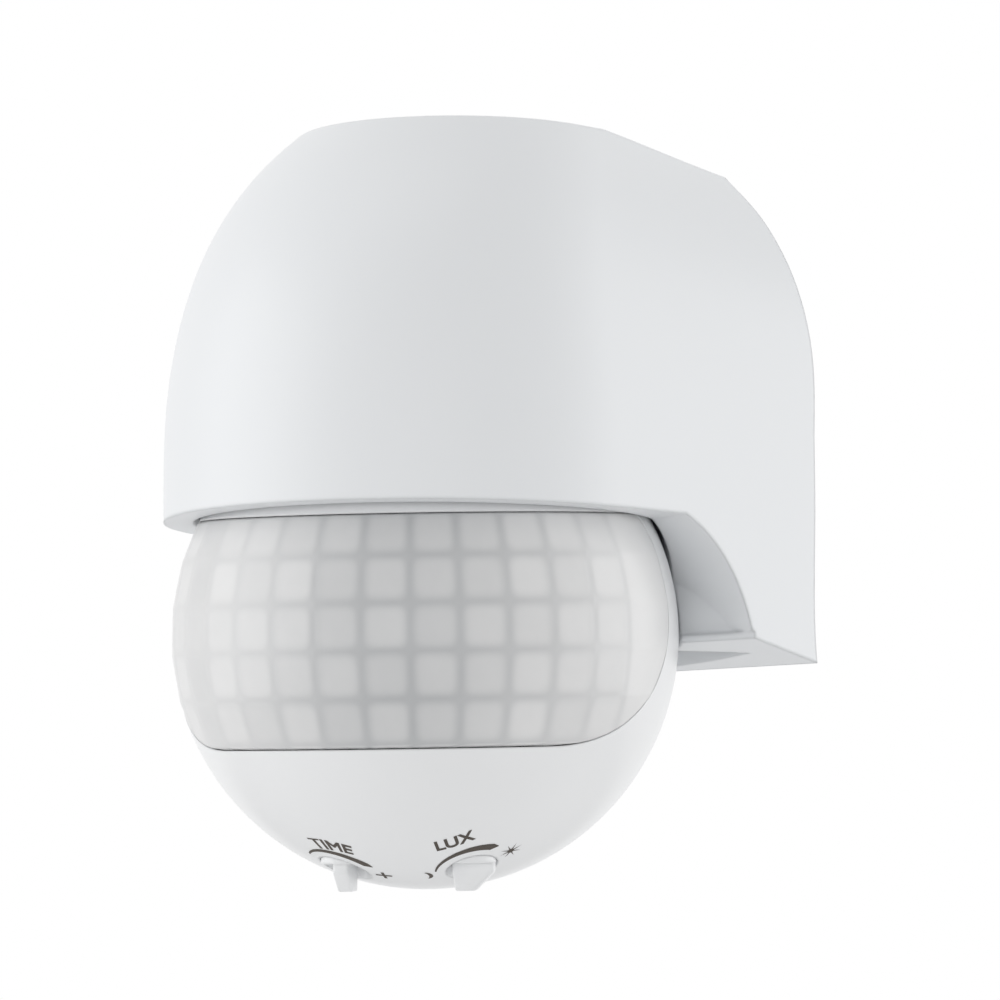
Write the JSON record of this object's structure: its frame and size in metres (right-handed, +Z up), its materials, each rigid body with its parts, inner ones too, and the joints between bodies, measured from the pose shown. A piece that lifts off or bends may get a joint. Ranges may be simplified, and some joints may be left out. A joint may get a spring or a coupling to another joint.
{
  "type": "motion detector",
  "caption": "White wall-mounted motion detector: helmet-shaped hood over a swivelling ball head with a wrap-round segmented lens and two small adjusters underneath.",
  "frame": {"origin": "middle of the two wall slots, on the back of the wall plate", "axes": "+Z up, +Y into the wall, +X to the right as seen from the front; the head looks towards -Y"},
  "size_m": [0.0766, 0.0717, 0.1035],
  "materials": {
    "white_housing": "satin white moulded plastic",
    "white_plate": "plain white moulded plastic",
    "grey_rubber": "soft grey rubber",
    "terminal_plastic": "natural moulded nylon",
    "steel": "zinc plated steel",
    "board_green": "solder resist on glass-fibre board",
    "relay_plastic": "moulded relay case",
    "film_box": "boxed film capacitor",
    "can_sleeve": "sleeved aluminium can",
    "grey_nylon": "grey bearing nylon",
    "white_ball": "smooth white moulded plastic",
    "lens_sheet": "translucent white polyethylene",
    "sensor_can": "nickel-plated sensor can",
    "cell_face": "light cell on a ceramic base",
    "control_body": "moulded rotary control"
  },
  "bodies": {
    "housing": {"hood": "white_housing", "wall_plate": "white_plate", "cable_grommet": "grey_rubber", "terminal_block": "terminal_plastic", "terminal_screws": "steel", "bearing_plate": "white_plate", "bearing_screws": "steel", "power_board": "board_green", "relay": "relay_plastic", "filter_capacitor": "film_box", "smoothing_capacitor": "can_sleeve"},
    "yoke": {"swivel_yoke": "grey_nylon", "friction_washer": "grey_rubber", "keeper_ring": "grey_nylon", "tilt_pins": "steel"},
    "head": {"head_casing": "white_ball", "head_back": "white_ball", "shell_screws": "steel", "fresnel_lens": "lens_sheet", "sensor_board": "board_green", "control_board": "board_green", "board_screws": "steel", "pyro_sensor": "sensor_can", "light_cell": "cell_face", "time_control": "control_body", "lux_control": "control_body"},
    "time_knob": {"time_knob": "white_ball"},
    "lux_knob": {"lux_knob": "white_ball"}
  },
  "joints": [
    {"name": "head_pan", "type": "hinge", "parent": "housing", "child": "yoke", "pos_m": [0, -0.0365, -0.03], "axis": [0, 0, 1], "range_deg": [-86, 33]},
    {"name": "head_tilt", "type": "hinge", "parent": "yoke", "child": "head", "pos_m": [0, -0.0365, -0.03], "axis": [0.8957, 0.4446, 0], "range_deg": [-14, 16]},
    {"name": "time_turn", "type": "hinge", "parent": "head", "child": "time_knob", "pos_m": [-0.00382, -0.04815, -0.06269], "axis": [0.031, -0.0625, 0.9976], "range_deg": [-100, 100]},
    {"name": "lux_turn", "type": "hinge", "parent": "head", "child": "lux_knob", "pos_m": [0.01159, -0.04051, -0.06269], "axis": [0.031, -0.0625, 0.9976], "range_deg": [-195, 5]}
  ]
}
